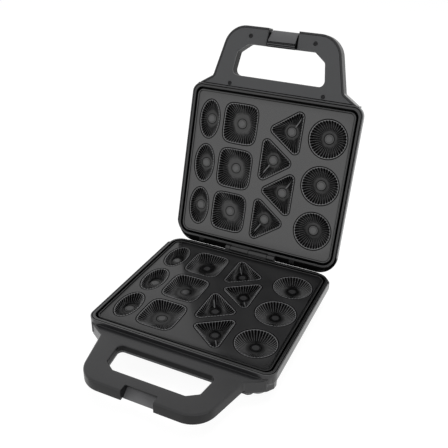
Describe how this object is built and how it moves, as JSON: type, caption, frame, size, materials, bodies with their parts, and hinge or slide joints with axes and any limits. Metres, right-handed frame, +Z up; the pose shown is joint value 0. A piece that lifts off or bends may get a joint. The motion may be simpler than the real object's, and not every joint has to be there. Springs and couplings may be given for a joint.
{
  "type": "cookie maker",
  "caption": "Countertop cookie maker with a hinged lid, moulded plates in base and lid, loop handles and a latch, standing open on four feet.",
  "frame": {"origin": "middle of the footprint box at table level, lid open", "axes": "+Z up, +Y to the back, +X to the right along the hinge"},
  "size_m": [0.247, 0.4126, 0.3417],
  "materials": {
    "housing_plastic": "moulded black plastic with a satin gloss",
    "handle_plastic": "fine textured dark grey plastic",
    "latch_plastic": "dark grey plastic",
    "nonstick_coating": "cast aluminium with a dark satin nonstick coating",
    "element_sheath": "heat-dulled steel sheath",
    "zinc_steel": "zinc plated steel",
    "reflector_sheet": "bright thin sheet",
    "ceramic": "pale electrical plastic",
    "foot_rubber": "soft black rubber",
    "red_lens": "clear red lens",
    "green_lens": "clear green lens",
    "lamp_glass": "small neon lamps"
  },
  "bodies": {
    "base": {"base_housing": "housing_plastic", "base_frame": "housing_plastic", "base_plate": "nonstick_coating", "base_handle_cover": "handle_plastic", "base_handle_screws": "zinc_steel", "base_frame_screws": "zinc_steel", "latch_strike": "latch_plastic", "base_element": "element_sheath", "base_element_clips": "zinc_steel", "base_reflector": "reflector_sheet", "base_reflector_screws": "zinc_steel", "thermostat": "ceramic", "thermal_fuse": "ceramic", "terminal_block": "ceramic", "cord_inlet": "foot_rubber", "rubber_feet": "foot_rubber", "hinge_pin": "zinc_steel"},
    "lid": {"lid_housing": "housing_plastic", "lid_frame": "housing_plastic", "lid_plate": "nonstick_coating", "lid_handle_cover": "handle_plastic", "lid_handle_screws": "zinc_steel", "lid_frame_screws": "zinc_steel", "lid_element": "element_sheath", "lid_element_clips": "zinc_steel", "lid_reflector": "reflector_sheet", "lid_reflector_screws": "zinc_steel", "power_light": "red_lens", "ready_light": "green_lens", "indicator_lamps": "lamp_glass", "latch_pin": "zinc_steel"},
    "latch": {"latch": "latch_plastic"}
  },
  "joints": [
    {"name": "lid_hinge", "type": "hinge", "parent": "base", "child": "lid", "pos_m": [0, 0.1057, 0.041], "axis": [-1, 0, 0], "range_deg": [-105.85, 0]},
    {"name": "latch_pivot", "type": "hinge", "parent": "lid", "child": "latch", "pos_m": [0, 0.19872, 0.33424], "axis": [-1, 0, 0], "range_deg": [0, 38]}
  ]
}
